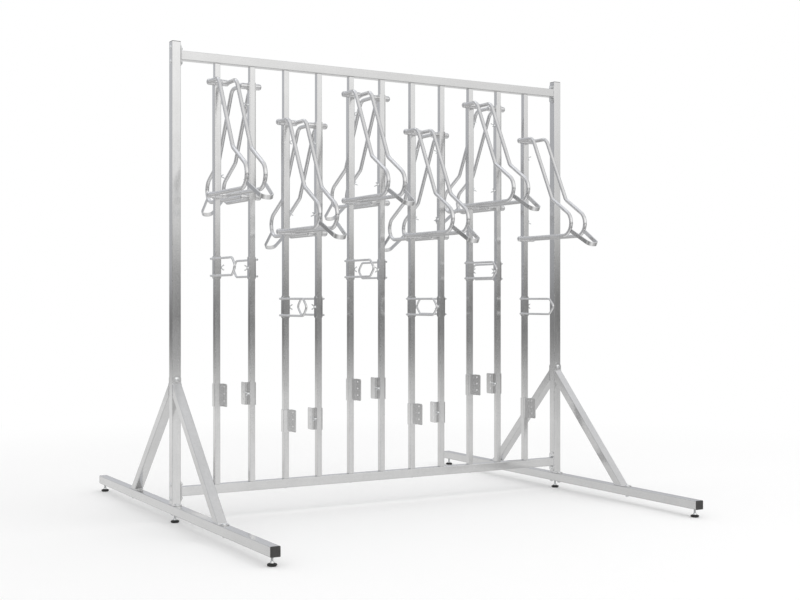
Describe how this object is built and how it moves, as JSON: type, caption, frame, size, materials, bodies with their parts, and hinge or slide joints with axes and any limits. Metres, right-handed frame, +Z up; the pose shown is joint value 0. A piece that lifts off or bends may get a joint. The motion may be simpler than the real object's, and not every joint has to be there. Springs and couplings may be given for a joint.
{
  "type": "bike hanging rack",
  "caption": "Freestanding galvanised steel rack with upright bars, each with bent rods that hang a bicycle by its wheel, a locking loop and a wheel stop, on levelling feet.",
  "frame": {"origin": "on the floor, midway between the two posts and between the ends of the foot beams", "axes": "+X runs along the rack from the left post to the right one, seen from the front, +Y to its back, +Z up"},
  "size_m": [2.0966, 2.11, 2.084],
  "materials": {
    "frame_steel": "galvanised, satin",
    "brace_steel": "galvanised, satin",
    "rail_steel": "galvanised, satin",
    "bar_steel": "galvanised, satin",
    "holder_steel": "galvanised, satin",
    "loop_steel": "galvanised, satin",
    "stop_steel": "galvanised, satin",
    "foot_steel": "galvanised, satin"
  },
  "bodies": {
    "rack": {"post_left": "frame_steel", "post_right": "frame_steel", "foot_beam_left": "frame_steel", "foot_beam_right": "frame_steel", "top_rail": "rail_steel", "bottom_rail": "rail_steel", "brace_left_front": "brace_steel", "brace_left_back": "brace_steel", "brace_right_front": "brace_steel", "brace_right_back": "brace_steel", "bar_a": "bar_steel", "wheel_holder_a": "holder_steel", "locking_loop_a": "loop_steel", "wheel_stop_a": "stop_steel", "bar_b": "bar_steel", "wheel_holder_b": "holder_steel", "locking_loop_b": "loop_steel", "wheel_stop_b": "stop_steel", "bar_c": "bar_steel", "wheel_holder_c": "holder_steel", "locking_loop_c": "loop_steel", "wheel_stop_c": "stop_steel", "bar_d": "bar_steel", "wheel_holder_d": "holder_steel", "locking_loop_d": "loop_steel", "wheel_stop_d": "stop_steel", "bar_e": "bar_steel", "wheel_holder_e": "holder_steel", "locking_loop_e": "loop_steel", "wheel_stop_e": "stop_steel", "bar_f": "bar_steel", "wheel_holder_f": "holder_steel", "locking_loop_f": "loop_steel", "wheel_stop_f": "stop_steel", "bar_g": "bar_steel", "wheel_holder_g": "holder_steel", "locking_loop_g": "loop_steel", "wheel_stop_g": "stop_steel", "bar_h": "bar_steel", "wheel_holder_h": "holder_steel", "locking_loop_h": "loop_steel", "wheel_stop_h": "stop_steel", "bar_i": "bar_steel", "wheel_holder_i": "holder_steel", "locking_loop_i": "loop_steel", "wheel_stop_i": "stop_steel", "bar_j": "bar_steel", "wheel_holder_j": "holder_steel", "locking_loop_j": "loop_steel", "wheel_stop_j": "stop_steel", "bar_k": "bar_steel", "wheel_holder_k": "holder_steel", "locking_loop_k": "loop_steel", "wheel_stop_k": "stop_steel"},
    "levelling_foot_left_front": {"levelling_foot_left_front": "foot_steel"},
    "levelling_foot_left_middle": {"levelling_foot_left_middle": "foot_steel"},
    "levelling_foot_left_back": {"levelling_foot_left_back": "foot_steel"},
    "levelling_foot_right_front": {"levelling_foot_right_front": "foot_steel"},
    "levelling_foot_right_middle": {"levelling_foot_right_middle": "foot_steel"},
    "levelling_foot_right_back": {"levelling_foot_right_back": "foot_steel"}
  },
  "joints": [
    {"name": "screw_left_front", "type": "slide", "parent": "rack", "child": "levelling_foot_left_front", "axis": [0, 0, 1], "range_m": [-0.008, 0.017]},
    {"name": "screw_left_middle", "type": "slide", "parent": "rack", "child": "levelling_foot_left_middle", "axis": [0, 0, 1], "range_m": [-0.008, 0.017]},
    {"name": "screw_left_back", "type": "slide", "parent": "rack", "child": "levelling_foot_left_back", "axis": [0, 0, 1], "range_m": [-0.008, 0.017]},
    {"name": "screw_right_front", "type": "slide", "parent": "rack", "child": "levelling_foot_right_front", "axis": [0, 0, 1], "range_m": [-0.008, 0.017]},
    {"name": "screw_right_middle", "type": "slide", "parent": "rack", "child": "levelling_foot_right_middle", "axis": [0, 0, 1], "range_m": [-0.008, 0.017]},
    {"name": "screw_right_back", "type": "slide", "parent": "rack", "child": "levelling_foot_right_back", "axis": [0, 0, 1], "range_m": [-0.008, 0.017]}
  ]
}
